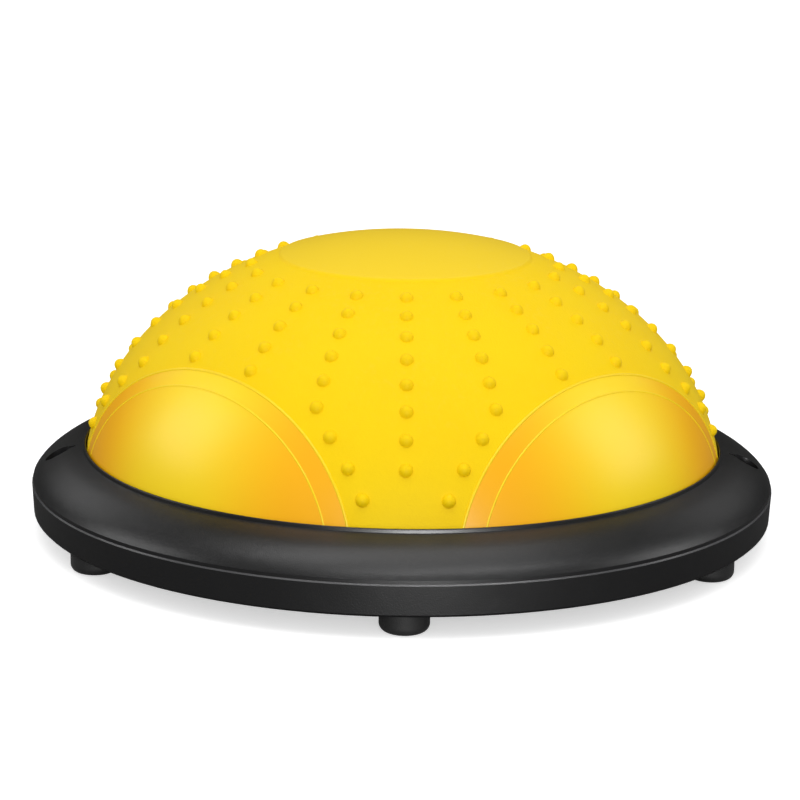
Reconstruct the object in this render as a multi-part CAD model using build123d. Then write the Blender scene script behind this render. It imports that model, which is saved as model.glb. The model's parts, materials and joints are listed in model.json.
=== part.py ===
from build123d import *
import math
import os

# Balance dome trainer: a yellow air dome clamped in a round black base that stands on six rubber feet.
# Millimetres. +Z is up, the origin is on the floor at the centre, and -Y is the front.
# Azimuth 0 is the front and grows towards +X. Heights named _HEIGHT are above the skirt's bottom edge,
# and heights named _Z are above the floor.

# Base tray and top ring
BASE_DIAMETER = 460.0
FOOT_HEIGHT = 13.0
SKIRT_HEIGHT = 19.4
SKIRT_DRAFT = 1.0
SEAM_CHAMFER = 0.8
LIP_INNER_RADIUS = 196.8
LIP_HEIGHT = 42.1
LIP_WIDTH = 1.5
LIP_STEP = 2.2
LIP_GAP = 0.6
ROLL_POINTS = ((205.0, 37.8), (212.0, 35.0), (218.0, 31.7), (225.0, 26.6))
ROLL_EDGE_HEIGHT = 21.6
WALL = 3.0
PLATE = 4.0
RIB = 2.5
RIB_COUNT = 12

# Air dome
DOME_RADIUS = 198.3
DOME_RISE = 155.1
DOME_CENTRE = 15.9
DOME_WALL = 3.5
DISC_RADIUS = 78.0
DISC_STEP = 1.2
DISC_STEP_WIDTH = 1.5
CROWN_HEIGHT = 170.4
MERIDIAN_SPANS = 8
FLANGE_RADIUS = 206.5
FLANGE_THICKNESS = 4.0
BEAD_WIDTH = 2.5
BEAD_HEIGHT = 2.5
FLOOR_SHEET = 3.0
SHEET_HEIGHT = 13.2
COLLAR_GAP = 5.6

# Keyholes for exercise bands
KEYHOLE_AZIMUTH = 86.8
KEYHOLE_PITCH_RADIUS = 214.5
KEYHOLE_HOLE_RADIUS = 7.5
KEYHOLE_SLOT_INNER = 203.0
KEYHOLE_SLOT_NARROW = 3.0
KEYHOLE_SLOT_WIDE = 10.4
KEYHOLE_WALL = 2.5
KEYHOLE_DEPTH = 18.0

# Rubber feet and their fixings
FOOT_COUNT = 6
FOOT_PITCH_RADIUS = 211.0
FOOT_RADIUS = 14.5
FOOT_EDGE_RADIUS = 5.0
FOOT_SOCKET_DEPTH = 1.5
FOOT_WELL_RADIUS = 5.5
FOOT_HOLE_RADIUS = 2.6
FOOT_LEDGE_Z = 6.0
FOOT_BOSS_RADIUS = 7.0
WASHER_RADIUS = 5.2
WASHER_BORE_RADIUS = 2.3
WASHER_THICKNESS = 1.0
FOOT_SCREW_HEAD = (4.0, 2.4)
FOOT_SCREW_RADIUS = 2.0
FOOT_SCREW_TIP_Z = 24.5

# Screws that hold the top ring
RING_SCREW_COUNT = 12
RING_SCREW_PITCH_RADIUS = 213.0
RING_BOSS_RADIUS = 4.5
RING_POST_RADIUS = 5.5
RING_SCREW_WELL_RADIUS = 4.0
RING_SCREW_HEAD = (3.7, 2.4)
RING_SCREW_RADIUS = 1.75
RING_SCREW_GRIP = 6.5
SCREW_CLEARANCE = 0.05
HEAD_EDGE_RADIUS = 1.0
RECESS_LENGTH = 3.6
RECESS_WIDTH = 0.9
RECESS_DEPTH = 1.4

# Valve, in a cup at the centre of the underside
CUP_BORE_RADIUS = 20.0
CUP_RADIUS = 26.0
CUP_FLANGE_RADIUS = 30.0
CUP_FLANGE_THICKNESS = 1.5
CUP_CLEARANCE = 0.1
VALVE_FLANGE_RADIUS = 15.0
VALVE_FLANGE_THICKNESS = 1.6
VALVE_NECK_RADIUS = 8.0
VALVE_NECK_DROP = 5.0
VALVE_BORE_RADIUS = 3.5
PLUG_HEAD_RADIUS = 9.0
PLUG_HEAD_THICKNESS = 2.2
PLUG_STEM = 8.0
PLUG_TIP = 2.0
PLUG_TIP_RADIUS = 2.4
PLUG_GRIP = (10.0, 2.4, 2.2)

# Hidden rings of ribs under the air chamber, and shallow grooves in the underside
RIB_RINGS = ((70.0, RIB), (130.0, RIB), (197.0, 7.0))
GROOVE_RADII = (60.0, 100.0, 140.0, 180.0)
GROOVE_WIDTH = 2.0
GROOVE_DEPTH = 1.0

# Heights above the floor
SKIRT_BOTTOM_Z = FOOT_HEIGHT
SEAM_Z = SKIRT_BOTTOM_Z + SKIRT_HEIGHT
LIP_TOP_Z = SKIRT_BOTTOM_Z + LIP_HEIGHT
ROLL_EDGE_Z = SKIRT_BOTTOM_Z + ROLL_EDGE_HEIGHT
DOME_CENTRE_Z = SKIRT_BOTTOM_Z + DOME_CENTRE
CROWN_Z = SKIRT_BOTTOM_Z + CROWN_HEIGHT
PLATE_TOP_Z = SKIRT_BOTTOM_Z + PLATE
SHEET_BOTTOM_Z = SKIRT_BOTTOM_Z + SHEET_HEIGHT
SHEET_TOP_Z = SHEET_BOTTOM_Z + FLOOR_SHEET
FLANGE_TOP_Z = SHEET_TOP_Z + FLANGE_THICKNESS
SCREW_LEDGE_Z = SKIRT_BOTTOM_Z + 8.0
PLUG_SEAT_Z = SHEET_BOTTOM_Z - VALVE_NECK_DROP - SCREW_CLEARANCE

# Radii that follow from the dimensions above
BASE_RADIUS = BASE_DIAMETER / 2
SKIRT_RADIUS = BASE_RADIUS - SKIRT_DRAFT
COLLAR_RADIUS = LIP_INNER_RADIUS + COLLAR_GAP
RING_RADIUS = BASE_RADIUS - SEAM_CHAMFER


def lathe(edges):
    """A closed outline in the XZ plane, turned about +Z."""
    return revolve(make_face(edges), Axis.Z)


def rod(radius, low, high, x=0.0, y=0.0):
    """An upright cylinder between two heights."""
    return Pos(x, y, (low + high) / 2) * Cylinder(radius, high - low)


def around(azimuth, radius):
    """The x and y of a place at an azimuth in degrees from the front."""
    turn = math.radians(azimuth)
    return radius * math.sin(turn), -radius * math.cos(turn)


def foot_places():
    return [around(360 / FOOT_COUNT * i, FOOT_PITCH_RADIUS) for i in range(FOOT_COUNT)]


def ring_screw_places():
    step = 360 / RING_SCREW_COUNT
    return [around(step * (i + 0.5), RING_SCREW_PITCH_RADIUS) for i in range(RING_SCREW_COUNT)]


def dome_height(radius):
    """The height of the dome's skin at a distance from its axis."""
    return DOME_CENTRE_Z + DOME_RISE * math.sqrt(1 - (radius / DOME_RADIUS) ** 2)


def meridian(radius, rise, low, high):
    """The part of an elliptical meridian between two heights, from low to high."""
    first = math.asin((low - DOME_CENTRE_Z) / rise)
    last = math.asin(min(1.0, (high - DOME_CENTRE_Z) / rise))
    angles = [first + (last - first) * i / MERIDIAN_SPANS for i in range(MERIDIAN_SPANS + 1)]
    points = [(radius * math.cos(a), DOME_CENTRE_Z + rise * math.sin(a)) for a in angles]
    tangents = [(-radius * math.sin(a), rise * math.cos(a)) for a in (first, last)]
    return Spline(points, tangents=tangents)


def on_side(edges):
    """Edges drawn in XY, stood up in the XZ plane."""
    return [Plane.XZ * edge for edge in edges]


def save(part, name):
    part.label = name
    export_step(part, f"parts/{name}.step")


# The air dome: one moulded skin with a raised standing disc, and a beaded flange that the base clamps.
def dome_shell():
    disc_edge = DISC_RADIUS - DISC_STEP_WIDTH
    skin = meridian(DOME_RADIUS, DOME_RISE, FLANGE_TOP_Z, dome_height(DISC_RADIUS))
    disc = TangentArc((0, CROWN_Z), (disc_edge, dome_height(disc_edge) + DISC_STEP), tangent=(1, 0))
    cavity_rise = CROWN_Z - DOME_WALL - DOME_CENTRE_Z
    cavity = meridian(DOME_RADIUS - DOME_WALL, cavity_rise, SHEET_TOP_Z, CROWN_Z - DOME_WALL)
    bead_top = FLANGE_TOP_Z + BEAD_HEIGHT
    flange = Polyline(
        cavity @ 0,
        (FLANGE_RADIUS, SHEET_TOP_Z),
        (FLANGE_RADIUS, bead_top),
        (FLANGE_RADIUS - BEAD_WIDTH, bead_top),
        (FLANGE_RADIUS - BEAD_WIDTH, FLANGE_TOP_Z),
        skin @ 0,
    )
    step = Line(skin @ 1, disc @ 1)
    axis = Line(disc @ 0, cavity @ 1)
    return lathe(on_side([*flange.edges(), skin, step, disc, axis, cavity]))


# The flat sheet welded under the flange, which closes the air chamber.
def bladder_floor():
    sheet = rod(FLANGE_RADIUS, SHEET_BOTTOM_Z, SHEET_TOP_Z)
    return sheet - rod(VALVE_NECK_RADIUS, SHEET_BOTTOM_Z - 1, SHEET_TOP_Z + 1)


# The top ring filled solid: a thin raised lip, the sloping roll outside it and the collar on the flange.
def ring_body():
    crease = (LIP_INNER_RADIUS + LIP_WIDTH + 0.3, LIP_TOP_Z - LIP_STEP)
    lip = Polyline(
        (COLLAR_RADIUS, FLANGE_TOP_Z),
        (DOME_RADIUS + LIP_GAP, FLANGE_TOP_Z),
        (LIP_INNER_RADIUS, LIP_TOP_Z - 0.7),
    )
    crest = ThreePointArc(
        (LIP_INNER_RADIUS, LIP_TOP_Z - 0.7),
        (LIP_INNER_RADIUS + LIP_WIDTH / 2, LIP_TOP_Z),
        (LIP_INNER_RADIUS + LIP_WIDTH, LIP_TOP_Z - 0.7),
    )
    fall = Line(crest @ 1, crease)
    roll_points = [(r, SKIRT_BOTTOM_Z + height) for r, height in ROLL_POINTS]
    roll = Spline([crease, *roll_points, (RING_RADIUS, ROLL_EDGE_Z)])
    rim = Polyline(roll @ 1, (RING_RADIUS, SEAM_Z), (COLLAR_RADIUS, SEAM_Z), (COLLAR_RADIUS, FLANGE_TOP_Z))
    return lathe(on_side([*lip.edges(), crest, fall, roll, *rim.edges()]))


# The space under the roll, between the collar and the ring's outer edge.
def ring_hollow():
    drop = WALL * 1.2
    first, _, third, last = ROLL_POINTS
    outer = (last[0] - 1.8, SKIRT_BOTTOM_Z + last[1] - drop)
    roof = ThreePointArc(
        (COLLAR_RADIUS, SKIRT_BOTTOM_Z + first[1] - drop),
        (third[0] - 1.5, SKIRT_BOTTOM_Z + third[1] - drop),
        outer,
    )
    floor = Polyline(outer, (outer[0], SEAM_Z - 1), (COLLAR_RADIUS, SEAM_Z - 1), roof @ 0)
    return lathe(on_side([roof, *floor.edges()]))


def keyhole(gain, low, high):
    """A round hole with a slot that narrows towards the lip, every side moved out by the gain."""
    narrow = KEYHOLE_SLOT_NARROW / 2 + gain
    wide = KEYHOLE_SLOT_WIDE / 2 + gain
    inner = KEYHOLE_SLOT_INNER + KEYHOLE_SLOT_NARROW / 2
    corners = ((inner, -narrow), (KEYHOLE_PITCH_RADIUS, -wide), (KEYHOLE_PITCH_RADIUS, wide), (inner, narrow))
    slot = extrude(Pos(0, 0, low) * make_face(Polyline(*corners, close=True)), high - low)
    hole = rod(KEYHOLE_HOLE_RADIUS + gain, low, high, KEYHOLE_PITCH_RADIUS)
    return hole + slot + rod(narrow, low, high, inner)


def keyholes(gain, low, high):
    """The keyholes at the right and the left, as far forward as each other."""
    shape = keyhole(gain, low, high)
    return [Rot(0, 0, turn) * shape for turn in (KEYHOLE_AZIMUTH - 90, 270 - KEYHOLE_AZIMUTH)]


# The black top ring: a hollow roll with screw bosses, ribs and two keyholes for exercise bands.
def top_ring():
    hollow = ring_hollow()
    for x, y in ring_screw_places():
        hollow -= rod(RING_BOSS_RADIUS, SEAM_Z - 2, LIP_TOP_Z, x, y)
    web_low = FLANGE_TOP_Z + BEAD_HEIGHT + 1
    web = Pos(FOOT_PITCH_RADIUS, 0, (web_low + LIP_TOP_Z) / 2) * Box(34.0, RIB, LIP_TOP_Z - web_low)
    for i in range(RIB_COUNT):
        azimuth = 360 / RIB_COUNT * i
        if azimuth % 180 != 90:
            hollow -= Rot(0, 0, azimuth - 90) * web
    for shape in keyholes(KEYHOLE_WALL, LIP_TOP_Z - KEYHOLE_DEPTH, LIP_TOP_Z):
        hollow -= shape
    ring = ring_body() - hollow
    for x, y in ring_screw_places():
        ring -= rod(RING_SCREW_RADIUS + SCREW_CLEARANCE, SEAM_Z - 1, SEAM_Z + RING_SCREW_GRIP + 0.5, x, y)
    for shape in keyholes(0, SEAM_Z - 1, LIP_TOP_Z + 5):
        ring -= shape
    return ring


# The black base tray: a standing plate with a skirt, ribs, screw posts and foot bosses.
def base_tray():
    hole_radius = CUP_RADIUS + CUP_CLEARANCE
    outline = Polyline(
        (hole_radius, SKIRT_BOTTOM_Z),
        (SKIRT_RADIUS - 1.5, SKIRT_BOTTOM_Z),
        (SKIRT_RADIUS, SKIRT_BOTTOM_Z + 1.5),
        (BASE_RADIUS, SEAM_Z - SEAM_CHAMFER),
        (BASE_RADIUS - SEAM_CHAMFER, SEAM_Z),
        (BASE_RADIUS - WALL, SEAM_Z),
        (SKIRT_RADIUS - WALL, PLATE_TOP_Z),
        (hole_radius + RIB, PLATE_TOP_Z),
        (hole_radius + RIB, SHEET_BOTTOM_Z),
        (hole_radius, SHEET_BOTTOM_Z),
        close=True,
    )
    tray = lathe(on_side(outline.edges()))
    for radius, width in RIB_RINGS:
        rim = rod(radius + width, PLATE_TOP_Z - 1, SHEET_BOTTOM_Z)
        tray += rim - rod(radius, PLATE_TOP_Z - 2, SHEET_BOTTOM_Z + 1)
    inner = hole_radius + 1
    outer = SKIRT_RADIUS - WALL + 0.5
    web_height = SHEET_BOTTOM_Z - PLATE_TOP_Z + 1
    web = Pos((inner + outer) / 2, 0, SHEET_BOTTOM_Z - web_height / 2) * Box(outer - inner, RIB, web_height)
    for i in range(RIB_COUNT):
        tray += Rot(0, 0, 360 / RIB_COUNT * i) * web
    for x, y in ring_screw_places():
        tray += rod(RING_POST_RADIUS, PLATE_TOP_Z - 1, SEAM_Z, x, y)
        tray -= rod(RING_SCREW_WELL_RADIUS, SKIRT_BOTTOM_Z - 1, SCREW_LEDGE_Z, x, y)
        tray -= rod(RING_SCREW_RADIUS + SCREW_CLEARANCE, SCREW_LEDGE_Z - 1, SEAM_Z + 1, x, y)
    for x, y in foot_places():
        tray += rod(FOOT_BOSS_RADIUS, PLATE_TOP_Z - 1, SHEET_BOTTOM_Z, x, y)
        tray -= rod(FOOT_RADIUS + 0.1, SKIRT_BOTTOM_Z - 1, SKIRT_BOTTOM_Z + FOOT_SOCKET_DEPTH, x, y)
        tray -= rod(FOOT_SCREW_RADIUS + SCREW_CLEARANCE, SKIRT_BOTTOM_Z, FOOT_SCREW_TIP_Z + 0.5, x, y)
    for radius in GROOVE_RADII:
        groove = rod(radius + GROOVE_WIDTH, SKIRT_BOTTOM_Z - 1, SKIRT_BOTTOM_Z + GROOVE_DEPTH)
        tray -= groove - rod(radius, SKIRT_BOTTOM_Z - 2, SKIRT_BOTTOM_Z + 2)
    recess_top = SKIRT_BOTTOM_Z + CUP_FLANGE_THICKNESS
    flange_recess = rod(CUP_FLANGE_RADIUS + CUP_CLEARANCE, SKIRT_BOTTOM_Z - 1, recess_top)
    return tray - flange_recess


# The cup round the valve: a sleeve through the tray with a flange let into the underside.
def valve_cup():
    flange = rod(CUP_FLANGE_RADIUS, SKIRT_BOTTOM_Z, SKIRT_BOTTOM_Z + CUP_FLANGE_THICKNESS)
    sleeve = rod(CUP_RADIUS, SKIRT_BOTTOM_Z, SHEET_BOTTOM_Z)
    return flange + sleeve - rod(CUP_BORE_RADIUS, SKIRT_BOTTOM_Z - 1, SHEET_BOTTOM_Z + 1)


# A rubber foot with a rounded bottom edge, bored for its washer and screw.
def foot(x, y):
    top = SKIRT_BOTTOM_Z + FOOT_SOCKET_DEPTH
    block = rod(FOOT_RADIUS, 0, top)
    block = fillet(block.edges().sort_by(Axis.Z)[0], FOOT_EDGE_RADIUS)
    block -= rod(FOOT_WELL_RADIUS, -1, FOOT_LEDGE_Z + WASHER_THICKNESS)
    block -= rod(FOOT_HOLE_RADIUS, FOOT_LEDGE_Z, top + 1)
    return Pos(x, y, 0) * block


def foot_washer(x, y):
    disc = rod(WASHER_RADIUS, FOOT_LEDGE_Z, FOOT_LEDGE_Z + WASHER_THICKNESS, x, y)
    return disc - rod(WASHER_BORE_RADIUS, FOOT_LEDGE_Z - 1, FOOT_LEDGE_Z + WASHER_THICKNESS + 1, x, y)


# A pan-head screw pointing up, with a cross recess in its head.
def screw(x, y, head_size, ledge, shank_radius, tip):
    head_radius, head_thickness = head_size
    head = rod(head_radius, ledge - head_thickness, ledge)
    head = fillet(head.edges().sort_by(Axis.Z)[0], HEAD_EDGE_RADIUS)
    slot = Box(RECESS_LENGTH, RECESS_WIDTH, RECESS_DEPTH * 2)
    recess = Pos(0, 0, ledge - head_thickness) * (slot + Rot(0, 0, 90) * slot)
    shank = rod(shank_radius, ledge - 0.5, tip)
    return Pos(x, y, 0) * (head + shank - recess)


# The valve seat: a flange inside the chamber and a bored neck that passes down through the sheet.
def valve_body():
    flange = rod(VALVE_FLANGE_RADIUS, SHEET_TOP_Z, SHEET_TOP_Z + VALVE_FLANGE_THICKNESS)
    neck_bottom = SHEET_BOTTOM_Z - VALVE_NECK_DROP
    neck = rod(VALVE_NECK_RADIUS - SCREW_CLEARANCE, neck_bottom, SHEET_TOP_Z + 1)
    return flange + neck - rod(VALVE_BORE_RADIUS, neck_bottom - 1, SHEET_TOP_Z + 3)


# The push-in plug: a tapered stem, a round head and a small grip.
def valve_plug():
    stem_radius = VALVE_BORE_RADIUS - SCREW_CLEARANCE
    stem_top = PLUG_SEAT_Z + PLUG_STEM
    stem = rod(stem_radius, PLUG_SEAT_Z - 0.5, stem_top)
    tip = Pos(0, 0, stem_top + PLUG_TIP / 2) * Cone(stem_radius, PLUG_TIP_RADIUS, PLUG_TIP)
    head = rod(PLUG_HEAD_RADIUS, PLUG_SEAT_Z - PLUG_HEAD_THICKNESS, PLUG_SEAT_Z)
    length, width, height = PLUG_GRIP
    grip_z = PLUG_SEAT_Z - PLUG_HEAD_THICKNESS - height / 2 + 0.2
    grip = Pos(0, 0, grip_z) * Box(length, width, height)
    return stem + tip + head + grip


os.makedirs("parts", exist_ok=True)
save(dome_shell(), "dome_shell")
save(bladder_floor(), "bladder_floor")
save(top_ring(), "top_ring")
save(base_tray(), "base_tray")
save(valve_cup(), "valve_cup")
save(valve_body(), "valve_body")
save(valve_plug(), "valve_plug")
for number, (x, y) in enumerate(foot_places(), 1):
    save(foot(x, y), f"foot_{number}")
    save(foot_washer(x, y), f"foot_washer_{number}")
    foot_screw = screw(x, y, FOOT_SCREW_HEAD, FOOT_LEDGE_Z, FOOT_SCREW_RADIUS, FOOT_SCREW_TIP_Z)
    save(foot_screw, f"foot_screw_{number}")
for number, (x, y) in enumerate(ring_screw_places(), 1):
    tip_z = SEAM_Z + RING_SCREW_GRIP
    ring_screw = screw(x, y, RING_SCREW_HEAD, SCREW_LEDGE_Z, RING_SCREW_RADIUS, tip_z)
    save(ring_screw, f"ring_screw_{number}")
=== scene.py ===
import bpy
import json
import math
from mathutils import Matrix, Vector


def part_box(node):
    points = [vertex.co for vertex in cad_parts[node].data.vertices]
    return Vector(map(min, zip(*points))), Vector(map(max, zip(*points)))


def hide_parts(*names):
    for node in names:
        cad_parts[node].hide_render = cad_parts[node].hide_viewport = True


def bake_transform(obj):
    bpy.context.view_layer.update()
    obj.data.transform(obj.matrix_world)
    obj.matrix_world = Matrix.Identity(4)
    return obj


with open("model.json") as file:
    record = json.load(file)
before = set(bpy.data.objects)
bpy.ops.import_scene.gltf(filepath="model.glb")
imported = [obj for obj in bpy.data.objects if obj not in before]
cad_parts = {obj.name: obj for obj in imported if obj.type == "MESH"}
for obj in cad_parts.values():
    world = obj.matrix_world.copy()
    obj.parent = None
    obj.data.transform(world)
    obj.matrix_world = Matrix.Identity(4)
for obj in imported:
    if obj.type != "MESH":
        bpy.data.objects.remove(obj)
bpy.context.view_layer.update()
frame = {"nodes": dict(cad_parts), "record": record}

# the frame gives the heights that everything else hangs on
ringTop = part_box("top_ring")[1].z
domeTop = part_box("dome_shell")[1].z
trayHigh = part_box("base_tray")[1]
print("frame loaded:", len(frame["nodes"]), "nodes")


# small helpers for node trees: the same ones serve shaders and geometry

def addNode(tree, kind, **settings):
    made = tree.nodes.new(kind)
    for key, value in settings.items():
        setattr(made, key, value)
    return made


def feed(tree, socket, value):  # a link if value is a socket, else a plain setting
    if isinstance(value, bpy.types.NodeSocket):
        tree.links.new(value, socket)
    else:
        socket.default_value = value


def calc(tree, operation, a, b=None, c=None):
    step = addNode(tree, "ShaderNodeMath", operation=operation)
    for socket, value in zip(step.inputs, (a, b, c)):
        if value is not None:
            feed(tree, socket, value)
    return step.outputs[0]


def smoothRange(tree, value, low, high, toLow=0.0, toHigh=1.0):
    step = addNode(tree, "ShaderNodeMapRange", interpolation_type="SMOOTHSTEP")
    for socket, entry in zip(step.inputs, (value, low, high, toLow, toHigh)):
        feed(tree, socket, entry)
    return step.outputs[0]


def blendColours(tree, share, first, second):
    mixer = addNode(tree, "ShaderNodeMix", data_type="RGBA")
    feed(tree, mixer.inputs[0], share)
    feed(tree, mixer.inputs[6], first)
    feed(tree, mixer.inputs[7], second)
    return mixer.outputs[2]


def splitPoint(tree, vector):
    parts = addNode(tree, "ShaderNodeSeparateXYZ")
    feed(tree, parts.inputs[0], vector)
    return parts.outputs[0], parts.outputs[1], parts.outputs[2]


def buildPoint(tree, x, y, z):
    whole = addNode(tree, "ShaderNodeCombineXYZ")
    for socket, value in zip(whole.inputs, (x, y, z)):
        feed(tree, socket, value)
    return whole.outputs[0]


# the studio: pale paper under the object, a white sky, and soft boxes that mostly make highlights
studio = {
    "cameraPlace": (-0.0221, -1.8228, 0.5382),
    "cameraYaw": 0.634, "cameraPitch": -14.107, "cameraRoll": 0.858,
    "lens": 135.9, "clipEnd": 30.0,
    "floorSize": 14.0, "floorRoughness": 0.9, "floorGlow": 0.55,
    "floorColour": (0.85, 0.85, 0.85, 1.0), "floorBounce": (0.42, 0.42, 0.42, 1.0),
    "floorMirrored": (0.10, 0.10, 0.10, 1.0),
    "skyColour": (1.0, 1.0, 1.0, 1.0), "skySeen": 1.0, "skyFill": 0.80, "skyGloss": 0.025,
}
softBoxes = {
    # name: (place, aims at, width, height, watts, seen by matt surfaces too)
    "topBox": ((-0.05, -0.45, 1.80), (0.0, 0.0, 0.10), 1.80, 1.20, 8.0, True),
    "topGloss": ((-0.10, 0.20, 1.75), (0.0, -0.15, 0.03), 1.60, 0.30, 6.0, False),
    "edgeStrip": ((0.25, -0.74, 1.56), (0.0, -0.20, 0.03), 1.50, 0.05, 6.0, False),
    "frontBox": ((0.05, -2.40, 0.80), (0.0, 0.0, 0.05), 1.60, 0.70, 14.0, True),
    "frontGloss": ((0.20, -1.90, 0.14), (0.0, -0.20, 0.02), 0.60, 0.24, 30.0, False),
    "leftBox": ((-1.75, 0.05, 0.95), (0.0, 0.0, 0.10), 0.90, 0.90, 8.0, False),
    "rightBox": ((1.75, 0.00, 0.90), (0.0, 0.0, 0.10), 0.80, 1.00, 8.0, False),
    "backLeftBox": ((-1.30, 1.40, 1.15), (-0.10, 0.0, 0.05), 1.00, 0.70, 2.5, False),
    "backRightBox": ((1.30, 1.40, 1.15), (0.10, 0.0, 0.05), 1.00, 0.70, 1.5, False),
}


def placeCamera():
    data = bpy.data.cameras.new("studioCamera")
    data.lens = studio["lens"]
    data.clip_end = studio["clipEnd"]
    camera = bpy.data.objects.new("studioCamera", data)
    turn = (Matrix.Rotation(math.radians(-studio["cameraYaw"]), 4, "Z")
            @ Matrix.Rotation(math.radians(90.0 + studio["cameraPitch"]), 4, "X")
            @ Matrix.Rotation(math.radians(studio["cameraRoll"]), 4, "Z"))
    camera.matrix_world = Matrix.Translation(studio["cameraPlace"]) @ turn
    bpy.context.scene.collection.objects.link(camera)
    bpy.context.scene.camera = camera


def placeLights():
    for name, (place, target, width, height, power, forMatt) in softBoxes.items():
        data = bpy.data.lights.new(name, "AREA")
        data.shape, data.size, data.size_y, data.energy = "RECTANGLE", width, height, power
        lamp = bpy.data.objects.new(name, data)
        lamp.visible_diffuse = forMatt
        aim = (Vector(target) - Vector(place)).to_track_quat("-Z", "Y")
        lamp.matrix_world = Matrix.Translation(place) @ aim.to_matrix().to_4x4()
        bpy.context.scene.collection.objects.link(lamp)


# white where the camera sees it, softer as fill, and nearly black in reflections
def hangSky():
    world = bpy.data.worlds.new("studioSky")
    world.use_nodes = True
    tree = world.node_tree
    sky = tree.nodes["Background"]
    sky.inputs["Color"].default_value = studio["skyColour"]
    rays = addNode(tree, "ShaderNodeLightPath")
    lost = studio["skyGloss"] - studio["skyFill"]
    fill = calc(tree, "MULTIPLY_ADD", rays.outputs["Is Glossy Ray"], lost, studio["skyFill"])
    seen = calc(tree, "MULTIPLY", rays.outputs["Is Camera Ray"], studio["skySeen"])
    feed(tree, sky.inputs["Strength"], calc(tree, "MAXIMUM", fill, seen))
    bpy.context.scene.world = world
    bpy.context.scene.view_settings.view_transform = "Standard"


def layFloor():
    half = studio["floorSize"] / 2
    mesh = bpy.data.meshes.new("studioFloor")
    corners = [(-half, -half, 0), (half, -half, 0), (half, half, 0), (-half, half, 0)]
    mesh.from_pydata(corners, [], [(0, 1, 2, 3)])
    floor = bpy.data.objects.new("studioFloor", mesh)
    bpy.context.scene.collection.objects.link(floor)
    paper = bpy.data.materials.new("floorPaper")
    paper.use_nodes = True
    tree = paper.node_tree
    surface = tree.nodes["Principled BSDF"]
    rays = addNode(tree, "ShaderNodeLightPath")
    seen, mirrored = rays.outputs["Is Camera Ray"], rays.outputs["Is Glossy Ray"]
    bounce = blendColours(tree, mirrored, studio["floorBounce"], studio["floorMirrored"])
    feed(tree, surface.inputs["Base Color"], blendColours(tree, seen, bounce, studio["floorColour"]))
    feed(tree, surface.inputs["Emission Strength"], calc(tree, "MULTIPLY", seen, studio["floorGlow"]))
    surface.inputs["Emission Color"].default_value = studio["skyColour"]
    surface.inputs["Roughness"].default_value = studio["floorRoughness"]
    surface.inputs["Specular IOR Level"].default_value = 0.0
    mesh.materials.append(paper)


placeCamera()
placeLights()
hangSky()
layFloor()
print("studio set")


# effects that several finishes share

def newGroup(name, inputs, outlet):
    group = bpy.data.node_groups.new(name, "ShaderNodeTree")
    for label, value in inputs.items():
        socket = group.interface.new_socket(label, in_out="INPUT", socket_type="NodeSocketFloat")
        socket.default_value = value
    group.interface.new_socket(outlet, in_out="OUTPUT", socket_type="NodeSocketFloat")
    return group, addNode(group, "NodeGroupInput").outputs, addNode(group, "NodeGroupOutput").inputs[0]


def objectPoint(tree):
    return addNode(tree, "ShaderNodeTexCoord").outputs["Object"]


def noiseAt(tree, point, scale, detail=2.0, roughness=0.5):
    texture = addNode(tree, "ShaderNodeTexNoise")
    feed(tree, texture.inputs["Vector"], point)
    feed(tree, texture.inputs["Scale"], scale)
    texture.inputs["Detail"].default_value = detail
    texture.inputs["Roughness"].default_value = roughness
    return texture.outputs[0]


# pebbled grain that a spark-eroded mould leaves: rounded cells with a finer noise over them
def makeMouldGrain():
    group, given, outlet = newGroup("mouldGrain", {"Pebble Scale": 900.0, "Fine Share": 0.35}, "Height")
    point = objectPoint(group)
    cells = addNode(group, "ShaderNodeTexVoronoi", feature="SMOOTH_F1")
    feed(group, cells.inputs["Vector"], point)
    feed(group, cells.inputs["Scale"], given["Pebble Scale"])
    fineScale = calc(group, "MULTIPLY", given["Pebble Scale"], 1.7)
    fine = noiseAt(group, point, fineScale, detail=3.0, roughness=0.6)
    pebbles = calc(group, "SUBTRACT", 1.0, cells.outputs["Distance"])
    feed(group, outlet, calc(group, "MULTIPLY_ADD", fine, given["Fine Share"], pebbles))
    return group


# cloudy patches of handling, above and below nought
def makeHandling():
    group, given, outlet = newGroup("handling", {"Patch Scale": 18.0, "Contrast": 0.5}, "Patches")
    cloud = noiseAt(group, objectPoint(group), given["Patch Scale"], detail=5.0, roughness=0.62)
    centred = calc(group, "SUBTRACT", cloud, 0.5)
    feed(group, outlet, calc(group, "MULTIPLY", centred, given["Contrast"]))
    return group


# short thin scratches, in two crossing directions
def makeScuffs():
    group, given, outlet = newGroup("scuffs", {"Amount": 0.3, "Scale": 30.0}, "Mask")
    point = objectPoint(group)
    streaks = []
    for turn, squeeze in ((0.6, 14.0), (-0.9, 18.0)):
        mapping = addNode(group, "ShaderNodeMapping")
        feed(group, mapping.inputs["Vector"], point)
        mapping.inputs["Rotation"].default_value = (0.3 * turn, 0.2, turn)
        mapping.inputs["Scale"].default_value = (1.0, squeeze, 1.0)
        lines = noiseAt(group, mapping.outputs[0], given["Scale"], detail=1.0, roughness=0.4)
        streaks.append(smoothRange(group, lines, 0.66, 0.74))
    total = calc(group, "MAXIMUM", *streaks)
    where = smoothRange(group, noiseAt(group, point, 9.0), 0.45, 0.7)
    feed(group, outlet, calc(group, "MULTIPLY", calc(group, "MULTIPLY", total, where), given["Amount"]))
    return group


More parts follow.
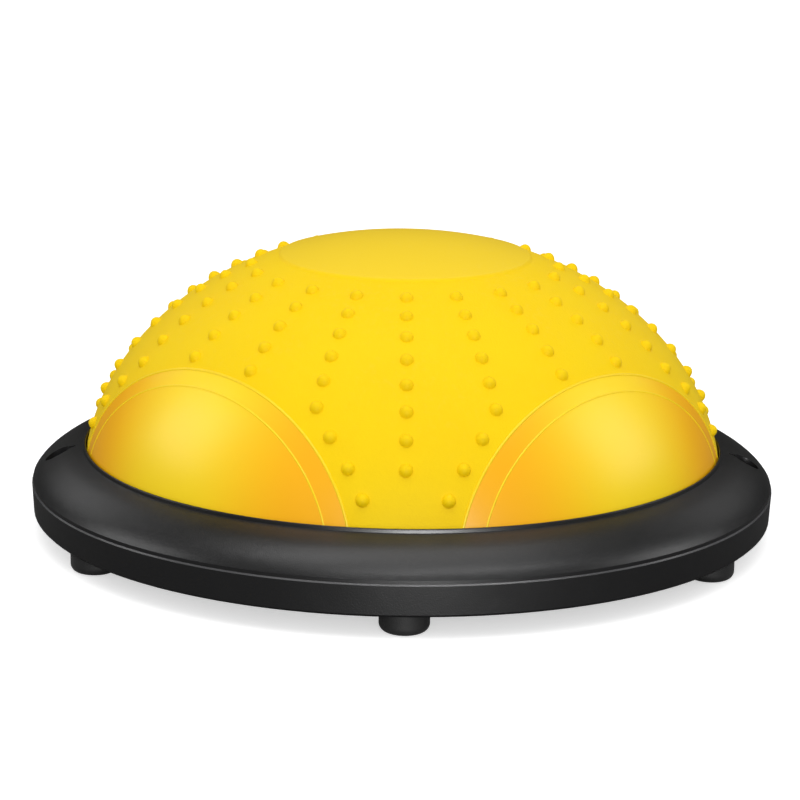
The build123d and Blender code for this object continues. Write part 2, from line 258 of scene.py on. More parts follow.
# fine dust that settles on what faces up
def makeDust():
    group, given, outlet = newGroup("settledDust", {"Amount": 0.1, "Speck Scale": 260.0}, "Mask")
    normal = addNode(group, "ShaderNodeNewGeometry").outputs["Normal"]
    facing = smoothRange(group, splitPoint(group, normal)[2], 0.35, 1.0)
    point = objectPoint(group)
    speckle = noiseAt(group, point, given["Speck Scale"], detail=4.0, roughness=0.7)
    specks = smoothRange(group, speckle, 0.48, 0.72)
    drift = smoothRange(group, noiseAt(group, point, 14.0, detail=4.0), 0.3, 0.75)
    laid = calc(group, "MULTIPLY", calc(group, "MULTIPLY", specks, drift), facing)
    feed(group, outlet, calc(group, "MULTIPLY", laid, given["Amount"]))
    return group


mouldGrain, handling, scuffs, settledDust = makeMouldGrain(), makeHandling(), makeScuffs(), makeDust()


def useGroup(tree, group, **values):  # values are named without their spaces
    placed = addNode(tree, "ShaderNodeGroup", node_tree=group)
    for socket in placed.inputs:
        key = socket.name.replace(" ", "")
        if key in values:
            feed(tree, socket, values[key])
    return placed.outputs[0]


def newFinish(name, specular):
    material = bpy.data.materials.new(name)
    material.use_nodes = True
    surface = material.node_tree.nodes["Principled BSDF"]
    surface.inputs["Specular IOR Level"].default_value = specular
    return material, material.node_tree, surface


def addBump(tree, surface, height, distance, strength=1.0):
    bump = addNode(tree, "ShaderNodeBump")
    bump.inputs["Distance"].default_value = distance
    feed(tree, bump.inputs["Strength"], strength)
    feed(tree, bump.inputs["Height"], height)
    feed(tree, surface.inputs["Normal"], bump.outputs[0])


# the dome's size and layout, in metres
dome = {
    "radius": 0.1983, "rise": 0.1551, "rimAboveCentre": 0.0053, "skinThickness": 0.0035,
    "discRadius": 0.0774, "discRaise": 0.0012, "discStep": 0.0022, "crownSink": 0.0018,
    "padPlane": 0.1600, "bandPlane": 0.1675, "padLean": 0.024,
    "segments": 256, "wallRows": 84, "stepRows": 8, "discRows": 26, "weldGap": 0.00001,
}
centreHeight = domeTop - dome["rise"] - dome["discRaise"] + dome["crownSink"]
rimHeight = centreHeight + dome["rimAboveCentre"]

vinyl = {
    "yellow": (0.925, 0.645, 0.0004, 1.0), "deepYellow": (0.895, 0.560, 0.0002, 1.0), "deepShare": 0.25,
    # the disc's whiter tint is a painted highlight of the overhead light; real scuffs on the pads are drawn
    # in the same colour
    "discTint": (0.905, 0.630, 0.020, 1.0), "discFade": (0.0005, 0.0015),
    "patchScale": 14.0, "patchContrast": 0.9, "patchRoughness": 0.12,
    "dustColour": (0.80, 0.72, 0.50, 1.0), "dust": 0.04, "speckScale": 300.0,
    "skinRoughness": 0.60, "discRoughness": 0.46, "specular": 0.08,
    "grainDepth": 0.00010, "pebbleScale": 850.0, "fineShare": 0.35, "discGrainLoss": 0.7,
}
# the first colour is a painted highlight along each pad's middle, and the first setting after orange says
# how far it reaches
padVinyl = {
    "light": (1.0, 0.700, 0.004, 1.0), "orange": (1.0, 0.470, 0.0, 1.0),
    "lightUpTo": 0.012, "orangeFrom": 0.088, "roughness": 0.32, "specular": 0.30,
    "patchScale": 20.0, "patchContrast": 0.8, "patchShare": 0.3, "patchRoughness": 0.10,
    "scuffs": 0.04, "scuffScale": 26.0, "fineShare": 0.6, "grainStrength": 0.12,
}
beadVinyl = {
    "patchScale": 30.0, "patchContrast": 0.6, "yellowShare": 0.2, "roughness": 0.36, "patchRoughness": 0.2,
}


# distances in the plan: sideways from a pad's own axis, and out from the dome's axis
def planDistances(tree):
    x, y, _ = splitPoint(tree, objectPoint(tree))
    ax, ay = calc(tree, "ABSOLUTE", x), calc(tree, "ABSOLUTE", y)
    sideways = calc(tree, "MULTIPLY", calc(tree, "SUBTRACT", ax, ay), math.sqrt(0.5))
    squares = calc(tree, "ADD", calc(tree, "POWER", ax, 2.0), calc(tree, "POWER", ay, 2.0))
    return calc(tree, "ABSOLUTE", sideways), calc(tree, "SQRT", squares)


def makeSkinVinyl():
    material, tree, surface = newFinish("skinVinyl", vinyl["specular"])
    _, radius = planDistances(tree)
    outside, inside = vinyl["discFade"]
    disc = smoothRange(tree, radius, dome["discRadius"] + outside, dome["discRadius"] - inside)
    patches = useGroup(tree, handling, PatchScale=vinyl["patchScale"], Contrast=vinyl["patchContrast"])
    deep = calc(tree, "ADD", patches, vinyl["deepShare"])
    colour = blendColours(tree, deep, vinyl["yellow"], vinyl["deepYellow"])
    # the disc is tinted whiter: a painted highlight
    colour = blendColours(tree, disc, colour, vinyl["discTint"])
    dust = useGroup(tree, settledDust, Amount=vinyl["dust"], SpeckScale=vinyl["speckScale"])
    feed(tree, surface.inputs["Base Color"], blendColours(tree, dust, colour, vinyl["dustColour"]))
    smoother = vinyl["discRoughness"] - vinyl["skinRoughness"]
    rough = calc(tree, "MULTIPLY_ADD", disc, smoother, vinyl["skinRoughness"])
    rough = calc(tree, "MULTIPLY_ADD", patches, vinyl["patchRoughness"], rough)
    feed(tree, surface.inputs["Roughness"], rough)
    grain = useGroup(tree, mouldGrain, PebbleScale=vinyl["pebbleScale"], FineShare=vinyl["fineShare"])
    strength = calc(tree, "MULTIPLY_ADD", disc, -vinyl["discGrainLoss"], 1.0)
    addBump(tree, surface, grain, vinyl["grainDepth"], strength)
    return material


# the pads are smooth and orange towards both sides, with a painted highlight of light yellow along their
# middle
def makePadVinyl():
    material, tree, surface = newFinish("padVinyl", padVinyl["specular"])
    sideways, _ = planDistances(tree)
    # 0 under the painted highlight along a pad's middle, 1 on its orange sides
    edge = smoothRange(tree, sideways, padVinyl["lightUpTo"], padVinyl["orangeFrom"])
    colour = blendColours(tree, edge, padVinyl["light"], padVinyl["orange"])
    patches = useGroup(tree, handling, PatchScale=padVinyl["patchScale"], Contrast=padVinyl["patchContrast"])
    marks = useGroup(tree, scuffs, Amount=padVinyl["scuffs"], Scale=padVinyl["scuffScale"])
    deep = calc(tree, "MULTIPLY", patches, padVinyl["patchShare"])
    colour = blendColours(tree, deep, colour, vinyl["deepYellow"])
    # real scuffs, drawn in the disc's whiter colour
    feed(tree, surface.inputs["Base Color"], blendColours(tree, marks, colour, vinyl["discTint"]))
    rough = calc(tree, "MULTIPLY_ADD", patches, padVinyl["patchRoughness"], padVinyl["roughness"])
    feed(tree, surface.inputs["Roughness"], calc(tree, "ADD", rough, marks))
    grain = useGroup(tree, mouldGrain, PebbleScale=vinyl["pebbleScale"], FineShare=padVinyl["fineShare"])
    addBump(tree, surface, grain, vinyl["grainDepth"], padVinyl["grainStrength"])
    return material


def makeBeadVinyl():
    material, tree, surface = newFinish("ridgeVinyl", padVinyl["specular"])
    look = beadVinyl
    patches = useGroup(tree, handling, PatchScale=look["patchScale"], Contrast=look["patchContrast"])
    share = calc(tree, "ADD", patches, look["yellowShare"])
    # the beads' tone wanders between the yellow and the pads' painted highlight colour
    feed(tree, surface.inputs["Base Color"], blendColours(tree, share, padVinyl["light"], vinyl["yellow"]))
    rough = calc(tree, "MULTIPLY_ADD", patches, look["patchRoughness"], look["roughness"])
    feed(tree, surface.inputs["Roughness"], rough)
    return material


skinFinish, padFinish, beadFinish = makeSkinVinyl(), makePadVinyl(), makeBeadVinyl()


# a geometry tree whose named inputs are the entries of values
def newTree(name, values):
    tree = bpy.data.node_groups.new(name, "GeometryNodeTree")
    for label, value in values.items():
        kind = {int: "NodeSocketInt", float: "NodeSocketFloat"}.get(type(value), "NodeSocketMaterial")
        tree.interface.new_socket(label, in_out="INPUT", socket_type=kind)
    tree.interface.new_socket("Geometry", in_out="OUTPUT", socket_type="NodeSocketGeometry")
    return tree, addNode(tree, "NodeGroupInput").outputs, addNode(tree, "NodeGroupOutput").inputs[0]


def finishTree(tree, geometry, material, outlet):
    shaded = addNode(tree, "GeometryNodeSetShadeSmooth")
    feed(tree, shaded.inputs["Geometry"], geometry)
    real = addNode(tree, "GeometryNodeRealizeInstances")
    feed(tree, real.inputs["Geometry"], shaded.outputs[0])
    paint = addNode(tree, "GeometryNodeSetMaterial")
    feed(tree, paint.inputs["Geometry"], real.outputs[0])
    feed(tree, paint.inputs["Material"], material)
    feed(tree, outlet, paint.outputs[0])
    return tree


def growPiece(name, tree, values, thickness=0.0):
    piece = bpy.data.objects.new(name, bpy.data.meshes.new(name))
    bpy.context.scene.collection.objects.link(piece)
    grower = piece.modifiers.new("grow", "NODES")
    grower.node_group = tree
    for item in tree.interface.items_tree:
        if item.item_type == "SOCKET" and item.in_out == "INPUT":
            grower[item.identifier] = values[item.name]
    if thickness:
        wall = piece.modifiers.new("wall", "SOLIDIFY")
        wall.thickness, wall.offset = thickness, -1.0
    graph = bpy.context.evaluated_depsgraph_get()
    grown = bpy.data.meshes.new_from_object(piece.evaluated_get(graph))
    piece.modifiers.clear()
    piece.data = grown
    grown.name = name
    print(name, "grown:", len(grown.polygons), "faces")
    return piece


def setPositions(tree, geometry, position):
    placed = addNode(tree, "GeometryNodeSetPosition")
    feed(tree, placed.inputs["Geometry"], geometry)
    feed(tree, placed.inputs["Position"], position)
    return placed.outputs[0]


def layGrid(tree, columns, rows):  # a grid to roll up, and its two shares, each from -0.5 to 0.5
    grid = addNode(tree, "GeometryNodeMeshGrid")
    feed(tree, grid.inputs["Vertices X"], calc(tree, "ADD", columns, 1.0))
    feed(tree, grid.inputs["Vertices Y"], calc(tree, "ADD", rows, 1.0))
    u, v, _ = splitPoint(tree, addNode(tree, "GeometryNodeInputPosition").outputs[0])
    return grid.outputs["Mesh"], u, v


def layLine(tree, steps):  # a curve to bend, and each point's share of its length
    line = addNode(tree, "GeometryNodeCurvePrimitiveLine")
    fine = addNode(tree, "GeometryNodeResampleCurve")
    feed(tree, fine.inputs["Curve"], line.outputs[0])
    feed(tree, fine.inputs["Count"], steps)
    return fine.outputs[0], addNode(tree, "GeometryNodeSplineParameter").outputs["Factor"]


def weld(tree, geometry, gap):
    welded = addNode(tree, "GeometryNodeMergeByDistance")
    feed(tree, welded.inputs["Geometry"], geometry)
    welded.inputs["Distance"].default_value = gap
    return welded.outputs[0]


def standCopies(tree, points, shape, rotation):
    copies = addNode(tree, "GeometryNodeInstanceOnPoints")
    feed(tree, copies.inputs["Points"], points)
    feed(tree, copies.inputs["Instance"], shape)
    feed(tree, copies.inputs["Rotation"], rotation)
    return copies.outputs[0]


def fourTimes(tree, shape):  # copies a quarter turn apart, halfway between the axes
    points = addNode(tree, "GeometryNodePoints")
    points.inputs["Count"].default_value = 4
    index = addNode(tree, "GeometryNodeInputIndex").outputs[0]
    quarter = calc(tree, "MULTIPLY", calc(tree, "ADD", index, 0.5), math.pi / 2)
    return standCopies(tree, points.outputs[0], shape, buildPoint(tree, 0.0, 0.0, quarter))


def onCircle(tree, radius, turn, height):  # turn 0 is the front, growing towards +X
    x = calc(tree, "MULTIPLY", radius, calc(tree, "SINE", turn))
    y = calc(tree, "MULTIPLY", calc(tree, "MULTIPLY", radius, calc(tree, "COSINE", turn)), -1.0)
    return buildPoint(tree, x, y, height)


def skinHeight(tree, out, across, radius, rise):  # the skin's height over the dome's centre
    spread = calc(tree, "ADD", calc(tree, "POWER", out, 2.0), calc(tree, "POWER", across, 2.0))
    share = calc(tree, "DIVIDE", spread, calc(tree, "POWER", radius, 2.0))
    return calc(tree, "MULTIPLY", rise, calc(tree, "SQRT", calc(tree, "SUBTRACT", 1.0, share)))


def spreadShare(tree, height, centre, rise):  # the skin's spread at a height, squared: 1 at its widest
    lift = calc(tree, "DIVIDE", calc(tree, "SUBTRACT", height, centre), rise)
    return calc(tree, "SUBTRACT", 1.0, calc(tree, "POWER", lift, 2.0))


def ellipsoid():  # the inputs that every tree on the dome has
    return {"Radius": dome["radius"], "Rise": dome["rise"], "Centre Height": centreHeight}


# the dome is an ellipse turned about its axis, with a disc that rises in one soft step near the crown
def makeDomeTree(values):
    tree, given, outlet = newTree("growDome", values)
    radius, rise, centre = given["Radius"], given["Rise"], given["Centre Height"]
    rimSine = calc(tree, "DIVIDE", calc(tree, "SUBTRACT", given["Rim Height"], centre), rise)
    rimAngle = calc(tree, "ARCSINE", rimSine)
    # the step's own rows reach a little past both of its ends
    outerFoot = calc(tree, "MULTIPLY_ADD", given["Disc Step"], 0.6, given["Disc Radius"])
    innerFoot = calc(tree, "MULTIPLY_ADD", given["Disc Step"], -0.6, given["Disc Radius"])
    footAngle = calc(tree, "ARCCOSINE", calc(tree, "DIVIDE", outerFoot, radius))
    edgeAngle = calc(tree, "ARCCOSINE", calc(tree, "DIVIDE", innerFoot, radius))
    joined = addNode(tree, "GeometryNodeJoinGeometry")
    bands = (
        (rimAngle, footAngle, given["Wall Rows"]),
        (footAngle, edgeAngle, given["Step Rows"]),
        (edgeAngle, math.pi / 2, given["Disc Rows"]),
    )
    for low, high, rows in bands:
        grid, u, v = layGrid(tree, given["Segments"], rows)
        turn = calc(tree, "MULTIPLY", calc(tree, "ADD", u, 0.5), 2 * math.pi)
        climb = calc(tree, "MULTIPLY", calc(tree, "SUBTRACT", high, low), calc(tree, "ADD", v, 0.5))
        angle = calc(tree, "ADD", low, climb)
        around = calc(tree, "MULTIPLY", radius, calc(tree, "COSINE", angle))
        halfStep = calc(tree, "MULTIPLY", given["Disc Step"], 0.5)
        outside = calc(tree, "ADD", given["Disc Radius"], halfStep)
        inside = calc(tree, "SUBTRACT", given["Disc Radius"], halfStep)
        lift = smoothRange(tree, around, outside, inside, 0.0, given["Disc Raise"])
        share = calc(tree, "MINIMUM", calc(tree, "DIVIDE", around, given["Disc Radius"]), 1.0)
        nearCrown = calc(tree, "SUBTRACT", 1.0, calc(tree, "POWER", share, 2.0))
        sink = calc(tree, "MULTIPLY", given["Crown Sink"], nearCrown)
        skin = calc(tree, "MULTIPLY_ADD", rise, calc(tree, "SINE", angle), centre)
        height = calc(tree, "ADD", skin, calc(tree, "SUBTRACT", lift, sink))
        shaped = setPositions(tree, grid, onCircle(tree, around, turn, height))
        tree.links.new(shaped, joined.inputs[0])
    whole = weld(tree, joined.outputs[0], dome["weldGap"])
    return finishTree(tree, whole, given["Material"], outlet)


def growDome():
    values = ellipsoid() | {
        "Rim Height": rimHeight, "Disc Radius": dome["discRadius"], "Disc Raise": dome["discRaise"],
        "Disc Step": dome["discStep"], "Crown Sink": dome["crownSink"], "Segments": dome["segments"],
        "Wall Rows": dome["wallRows"], "Step Rows": dome["stepRows"], "Disc Rows": dome["discRows"],
        "Material": skinFinish,
    }
    return growPiece("domeSkin", makeDomeTree(values), values, dome["skinThickness"])


# nubs stand in columns every 18 degrees; each quarter has one middle column, two that bend in beside it
# at the bottom, and two short ones over a pad
nubs = {
    "firstArc": 0.0970, "rowGap": 0.01755, "rows": 9, "columns": 20,
    "footRadius": 0.0038, "height": 0.0036, "flare": 0.0005, "sink": 0.0006,
    "sides": 16, "rings": 6, "shortRows": 5.0, "middleRows": 8.0,
    "bendFirst": 14.2, "bendSecond": 10.2, "bendThird": 7.3,
    "meridianSteps": 400, "weldGap": 0.00002,
}


def rollNub(tree, given):  # a grid rolled into a rounded button with a flared foot
    grid, u, v = layGrid(tree, given["Sides"], given["Rings"])
    turn = calc(tree, "MULTIPLY", calc(tree, "ADD", u, 0.5), 2 * math.pi)
    climb = calc(tree, "ADD", v, 0.5)
    lean = calc(tree, "MULTIPLY", climb, math.pi / 2)
    spread = calc(tree, "MULTIPLY", given["Foot Radius"], calc(tree, "COSINE", lean))
    foot = calc(tree, "POWER", calc(tree, "SUBTRACT", 1.0, climb), 3.0)
    spread = calc(tree, "MULTIPLY_ADD", given["Flare"], foot, spread)
    tall = calc(tree, "ADD", given["Height"], given["Sink"])
    tall = calc(tree, "MULTIPLY", tall, calc(tree, "SINE", lean))
    height = calc(tree, "SUBTRACT", tall, given["Sink"])
    return weld(tree, setPositions(tree, grid, onCircle(tree, spread, turn, height)), nubs["weldGap"])


def bendMeridian(tree, radius, rise, centre):  # a curve over the skin, so rows are counted along it
    line, along = layLine(tree, nubs["meridianSteps"])
    sweep = calc(tree, "MULTIPLY", along, math.pi / 2)
    x = calc(tree, "MULTIPLY", radius, calc(tree, "SINE", sweep))
    z = calc(tree, "MULTIPLY_ADD", rise, calc(tree, "COSINE", sweep), centre)
    return setPositions(tree, line, buildPoint(tree, x, 0.0, z))


def makeNubTree(values):
    tree, given, outlet = newTree("growNubs", values)
    radius, rise, centre = given["Radius"], given["Rise"], given["Centre Height"]
    button = rollNub(tree, given)
    meridian = bendMeridian(tree, radius, rise, centre)

    # one point for each column and row
    points = addNode(tree, "GeometryNodePoints")
    feed(tree, points.inputs["Count"], calc(tree, "MULTIPLY", given["Rows"], given["Columns"]))
    index = addNode(tree, "GeometryNodeInputIndex").outputs[0]
    column = calc(tree, "FLOOR", calc(tree, "DIVIDE", calc(tree, "ADD", index, 0.5), given["Rows"]))
    row = calc(tree, "ROUND", calc(tree, "MODULO", index, given["Rows"]))
    perQuarter = calc(tree, "DIVIDE", given["Columns"], 4.0)
    middle = calc(tree, "FLOOR", calc(tree, "DIVIDE", perQuarter, 2.0))
    shifted = calc(tree, "MODULO", calc(tree, "ADD", column, middle), perQuarter)
    place = calc(tree, "ROUND", calc(tree, "SUBTRACT", shifted, middle))
    away = calc(tree, "ABSOLUTE", place)  # 0 in a quarter's middle column, 1 beside it, 2 over a pad
    sampler = addNode(tree, "GeometryNodeSampleCurve", mode="LENGTH")
    feed(tree, sampler.inputs["Curves"], meridian)
    arc = calc(tree, "MULTIPLY_ADD", row, given["Row Gap"], given["First Arc"])
    feed(tree, sampler.inputs["Length"], arc)
    reach, _, height = splitPoint(tree, sampler.outputs["Position"])

    # the last three rows beside a middle column bend in towards it
    step = calc(tree, "DIVIDE", 2 * math.pi, given["Columns"])
    bend = 0.0
    lastRow = calc(tree, "SUBTRACT", given["Rows"], 1.0)
    for back, label in ((2.0, "Bend First"), (1.0, "Bend Second"), (0.0, "Bend Third")):
        here = calc(tree, "COMPARE", row, calc(tree, "SUBTRACT", lastRow, back), 0.1)
        swing = calc(tree, "SUBTRACT", calc(tree, "RADIANS", given[label]), step)
        bend = calc(tree, "MULTIPLY_ADD", here, swing, bend)
    bend = calc(tree, "MULTIPLY", bend, calc(tree, "COMPARE", away, 1.0, 0.1))
    bend = calc(tree, "MULTIPLY", bend, calc(tree, "SIGN", place))
    azimuth = calc(tree, "MULTIPLY_ADD", column, step, bend)
    spots = setPositions(tree, points.outputs[0], onCircle(tree, reach, azimuth, height))

    # columns over a pad and middle columns leave out their last rows
    leftOut = 0.0
    for kind, label in ((2.0, "Short Rows"), (0.0, "Middle Rows")):
        here = calc(tree, "COMPARE", away, kind, 0.1)
        beyond = calc(tree, "GREATER_THAN", row, calc(tree, "SUBTRACT", given[label], 0.5))
        leftOut = calc(tree, "MULTIPLY_ADD", here, beyond, leftOut)
    kept = addNode(tree, "GeometryNodeDeleteGeometry", domain="POINT")
    feed(tree, kept.inputs["Geometry"], spots)
    feed(tree, kept.inputs["Selection"], leftOut)

    # every nub stands square to the skin
    x, y, z = splitPoint(tree, addNode(tree, "GeometryNodeInputPosition").outputs[0])
    flat = calc(tree, "POWER", radius, 2.0)
    upright = calc(tree, "DIVIDE", calc(tree, "SUBTRACT", z, centre), calc(tree, "POWER", rise, 2.0))
    square = buildPoint(tree, calc(tree, "DIVIDE", x, flat), calc(tree, "DIVIDE", y, flat), upright)
    stand = addNode(tree, "FunctionNodeAlignRotationToVector", axis="Z")
    feed(tree, stand.inputs["Vector"], square)
    copies = standCopies(tree, kept.outputs[0], button, stand.outputs[0])
    return finishTree(tree, copies, given["Material"], outlet)


def growNubs():
    values = ellipsoid() | {
        "First Arc": nubs["firstArc"], "Row Gap": nubs["rowGap"], "Rows": nubs["rows"],
        "Columns": nubs["columns"], "Foot Radius": nubs["footRadius"], "Height": nubs["height"],
        "Flare": nubs["flare"], "Sink": nubs["sink"], "Sides": nubs["sides"], "Rings": nubs["rings"],
        "Short Rows": nubs["shortRows"], "Middle Rows": nubs["middleRows"],
        "Bend First": nubs["bendFirst"], "Bend Second": nubs["bendSecond"],
        "Bend Third": nubs["bendThird"], "Material": skinFinish,
    }
    return growPiece("domeNubs", makeNubTree(values), values)


# a thin bead runs round each pad, where a plane cuts the dome, and a second one just inside it;
# both end behind the ring's lip
ridges = {
    "outerBead": 0.00095, "innerBead": 0.00075, "sink": 0.0002, "endBelowLip": 0.0064,
    "steps": 120, "sides": 10,
}


def makeRidgeTree(values):
    tree, given, outlet = newTree("growRidges", values)
    radius, rise, centre = given["Radius"], given["Rise"], given["Centre Height"]
    both = addNode(tree, "GeometryNodeJoinGeometry")
    endShare = spreadShare(tree, given["End Height"], centre, rise)
    endSquared = calc(tree, "MULTIPLY", calc(tree, "POWER", radius, 2.0), endShare)
    for side in ("Outer", "Inner"):
        plane = given[side + " Plane"]
        reach = calc(tree, "SQRT", calc(tree, "SUBTRACT", endSquared, calc(tree, "POWER", plane, 2.0)))
        line, share = layLine(tree, given["Steps"])
        swing = calc(tree, "MULTIPLY", calc(tree, "SUBTRACT", share, 0.5), math.pi)
        across = calc(tree, "MULTIPLY", reach, calc(tree, "SINE", swing))
        # higher up, the plane leans in towards the axis
        lean = calc(tree, "MULTIPLY", given["Lean"], skinHeight(tree, plane, across, radius, rise))
        out = calc(tree, "SUBTRACT", plane, lean)
        height = calc(tree, "ADD", skinHeight(tree, out, across, radius, rise), centre)
        # the bead's middle line lies a little under the skin
        inset = calc(tree, "SUBTRACT", 1.0, calc(tree, "DIVIDE", given["Sink"], radius))
        plan = [calc(tree, "MULTIPLY", part, inset) for part in (out, across)]
        path = setPositions(tree, line, buildPoint(tree, *plan, height))
        section = addNode(tree, "GeometryNodeCurvePrimitiveCircle")
        feed(tree, section.inputs["Resolution"], given["Sides"])
        feed(tree, section.inputs["Radius"], given[side + " Bead"])
        tube = addNode(tree, "GeometryNodeCurveToMesh")
        feed(tree, tube.inputs["Curve"], path)
        feed(tree, tube.inputs["Profile Curve"], section.outputs[0])
        tube.inputs["Fill Caps"].default_value = True
        tree.links.new(tube.outputs[0], both.inputs[0])
    return finishTree(tree, fourTimes(tree, both.outputs[0]), given["Material"], outlet)


def growRidges():
    values = ellipsoid() | {
        "End Height": ringTop - ridges["endBelowLip"], "Outer Plane": dome["padPlane"],
        "Inner Plane": dome["bandPlane"], "Outer Bead": ridges["outerBead"],
        "Inner Bead": ridges["innerBead"], "Sink": ridges["sink"], "Lean": dome["padLean"],
        "Steps": ridges["steps"], "Sides": ridges["sides"], "Material": beadFinish,
    }
    return growPiece("padRidges", makeRidgeTree(values), values)


# the four pads lie a hair proud of the skin, beyond the plane that the outer bead follows
pads = {
    "proud": 0.00025, "aboveRim": 0.0010, "rows": 40, "columns": 96, "crowding": 1.3,
    "weldGap": 0.00002,
}


def makePadTree(values):
    tree, given, outlet = newTree("growPads", values)
    radius, rise, centre, plane = given["Radius"], given["Rise"], given["Centre Height"], given["Plane"]
    endShare = spreadShare(tree, given["Low Height"], centre, rise)
    endRadius = calc(tree, "MULTIPLY", radius, calc(tree, "SQRT", endShare))
    grid, u, v = layGrid(tree, given["Columns"], given["Rows"])
    # rows step out from the bead's plane to the rim, and each one runs as far as the rim lets it
    outShare = calc(tree, "POWER", calc(tree, "ADD", v, 0.5), pads["crowding"])
    out = calc(tree, "MULTIPLY_ADD", calc(tree, "SUBTRACT", endRadius, plane), outShare, plane)
    room = calc(tree, "SUBTRACT", calc(tree, "POWER", endRadius, 2.0), calc(tree, "POWER", out, 2.0))
    reach = calc(tree, "SQRT", calc(tree, "MAXIMUM", room, 0.0))
    across = calc(tree, "MULTIPLY", reach, calc(tree, "SINE", calc(tree, "MULTIPLY", u, -math.pi)))
    # the lean of the bead's plane fades out towards the rim
    lean = calc(tree, "MULTIPLY", given["Lean"], calc(tree, "SUBTRACT", 1.0, outShare))
    lean = calc(tree, "MULTIPLY", lean, skinHeight(tree, out, across, radius, rise))
    out = calc(tree, "SUBTRACT", out, lean)
    grow = calc(tree, "ADD", 1.0, calc(tree, "DIVIDE", given["Proud"], radius))
    height = calc(tree, "MULTIPLY_ADD", skinHeight(tree, out, across, radius, rise), grow, centre)
    plan = [calc(tree, "MULTIPLY", part, grow) for part in (out, across)]
    patch = setPositions(tree, grid, buildPoint(tree, *plan, height))
    copies = fourTimes(tree, weld(tree, patch, pads["weldGap"]))
    return finishTree(tree, copies, given["Material"], outlet)


def growPads():
    values = ellipsoid() | {
        "Low Height": rimHeight + pads["aboveRim"], "Plane": dome["padPlane"], "Proud": pads["proud"],
        "Lean": dome["padLean"], "Rows": pads["rows"], "Columns": pads["columns"], "Material": padFinish,
    }
    return growPiece("padPatches", makePadTree(values), values)


for piece in (growDome(), growNubs(), growPads(), growRidges()):
    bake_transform(piece)
    if piece.name == "domeSkin":
        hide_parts("dome_shell")
print("dome made")


# finishes of the base and its small parts
blackShell = {
    "colour": (0.0100, 0.0100, 0.0105, 1.0), "rubbed": (0.020, 0.020, 0.021, 1.0),
    "dustColour": (0.12, 0.117, 0.11, 1.0), "roughness": 0.36, "specular": 0.5,
    "patchScale": 11.0, "patchContrast": 0.8, "patchRoughness": 0.18,
    "scuffs": 0.35, "scuffScale": 34.0, "scuffRoughness": 0.15, "dust": 0.05, "speckScale": 420.0,
    "grainDepth": 0.00005, "pebbleScale": 1500.0, "fineShare": 0.5,
}
# a painted highlight along the seam: a lighter colour on the tray's top edge, made glossier too so the lamps
# add a real one
paintedEdgeHighlight = {
    "colour": (0.075, 0.075, 0.078, 1.0), "share": 0.9, "gloss": 0.12,
    "band": 0.0008, "inset": 0.00095, "slack": 0.00005,
}
rubber = {
    "colour": (0.012, 0.012, 0.0125, 1.0), "worn": (0.030, 0.0295, 0.0285, 1.0), "wornShare": 0.3,
    "patchScale": 60.0, "patchContrast": 1.0, "specular": 0.3, "sheen": 0.1,
    "roughness": 0.66, "patchRoughness": 0.2,
    "grainDepth": 0.00008, "pebbleScale": 1200.0, "fineShare": 0.8,
}
zinc = {
    "colour": (0.50, 0.51, 0.53, 1.0), "worn": (0.72, 0.72, 0.70, 1.0), "wornShare": 0.4,
    "patchScale": 220.0, "patchContrast": 1.2, "specular": 0.5, "roughness": 0.34, "patchRoughness": 0.25,
}
valvePlastic = {
    "colour": (0.74, 0.73, 0.69, 1.0), "worn": (0.60, 0.58, 0.52, 1.0), "wornShare": 0.3,
    "patchScale": 90.0, "patchContrast": 0.8, "specular": 0.5, "roughness": 0.4, "patchRoughness": 0.2,
    "softness": 0.15, "softDepth": 0.002,
}


# 1 on the tray's chamfered top edge, which carries a painted highlight along the seam
def paintedEdgeHighlightMask(tree):
    x, y, z = splitPoint(tree, objectPoint(tree))
    squares = calc(tree, "ADD", calc(tree, "POWER", x, 2.0), calc(tree, "POWER", y, 2.0))
    half = paintedEdgeHighlight["band"] / 2
    band = calc(tree, "COMPARE", z, trayHigh.z - half, half + paintedEdgeHighlight["slack"])
    outer = calc(tree, "GREATER_THAN", calc(tree, "SQRT", squares), trayHigh.x - paintedEdgeHighlight["inset"])
    return calc(tree, "MULTIPLY", band, outer)


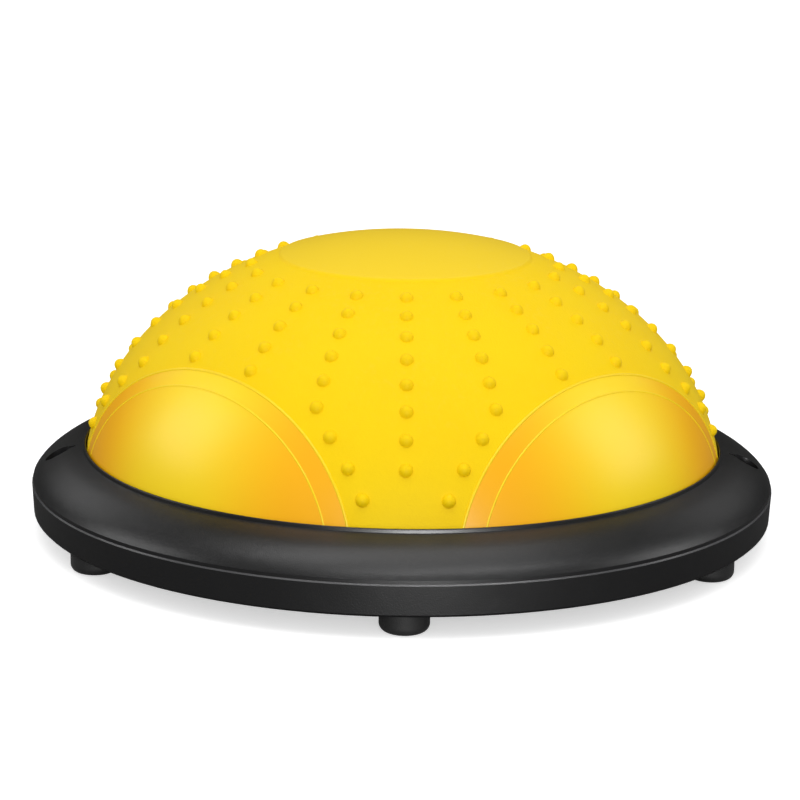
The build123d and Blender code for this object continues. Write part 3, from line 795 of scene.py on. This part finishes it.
def makeBlackPlastic():
    look = blackShell
    material, tree, surface = newFinish("blackPlastic", look["specular"])
    patches = useGroup(tree, handling, PatchScale=look["patchScale"], Contrast=look["patchContrast"])
    marks = useGroup(tree, scuffs, Amount=look["scuffs"], Scale=look["scuffScale"])
    dust = useGroup(tree, settledDust, Amount=look["dust"], SpeckScale=look["speckScale"])
    colour = blendColours(tree, calc(tree, "ADD", patches, marks), look["colour"], look["rubbed"])
    colour = blendColours(tree, dust, colour, look["dustColour"])
    rim = paintedEdgeHighlightMask(tree)
    # the seam's painted highlight
    bright = calc(tree, "MULTIPLY", rim, paintedEdgeHighlight["share"])
    feed(tree, surface.inputs["Base Color"], blendColours(tree, bright, colour, paintedEdgeHighlight["colour"]))
    rough = calc(tree, "MULTIPLY_ADD", patches, look["patchRoughness"], look["roughness"])
    rough = calc(tree, "MULTIPLY_ADD", rim, -paintedEdgeHighlight["gloss"], rough)
    rough = calc(tree, "MULTIPLY_ADD", marks, look["scuffRoughness"], rough)
    feed(tree, surface.inputs["Roughness"], rough)
    grain = useGroup(tree, mouldGrain, PebbleScale=look["pebbleScale"], FineShare=look["fineShare"])
    addBump(tree, surface, grain, look["grainDepth"])
    return material


# a finish whose colour and roughness wander together between two states
def makePatchy(name, look):
    material, tree, surface = newFinish(name, look["specular"])
    patches = useGroup(tree, handling, PatchScale=look["patchScale"], Contrast=look["patchContrast"])
    worn = calc(tree, "ADD", patches, look["wornShare"])
    feed(tree, surface.inputs["Base Color"], blendColours(tree, worn, look["colour"], look["worn"]))
    rough = calc(tree, "MULTIPLY_ADD", patches, look["patchRoughness"], look["roughness"])
    feed(tree, surface.inputs["Roughness"], rough)
    return material, tree, surface


def makeRubber():
    material, tree, surface = makePatchy("footRubber", rubber)
    surface.inputs["Sheen Weight"].default_value = rubber["sheen"]
    grain = useGroup(tree, mouldGrain, PebbleScale=rubber["pebbleScale"], FineShare=rubber["fineShare"])
    addBump(tree, surface, grain, rubber["grainDepth"])
    return material


def makeZinc():
    material, _, surface = makePatchy("zincPlate", zinc)
    surface.inputs["Metallic"].default_value = 1.0
    return material


def makeValvePlastic():
    material, _, surface = makePatchy("valvePlastic", valvePlastic)
    surface.inputs["Subsurface Weight"].default_value = valvePlastic["softness"]
    surface.inputs["Subsurface Scale"].default_value = valvePlastic["softDepth"]
    return material


finishes = {
    "black_shell": makeBlackPlastic(), "foot_rubber": makeRubber(), "zinc_steel": makeZinc(),
    "valve_plastic": makeValvePlastic(), "yellow_pvc": skinFinish,
}


def dressNodes():
    slotOf = {entry["node"]: entry["material_slot"] for entry in frame["record"]["subparts"]}
    for name, node in frame["nodes"].items():
        node.data.materials.clear()
        node.data.materials.append(finishes[slotOf[name]])


dressNodes()
print("CAD nodes dressed")
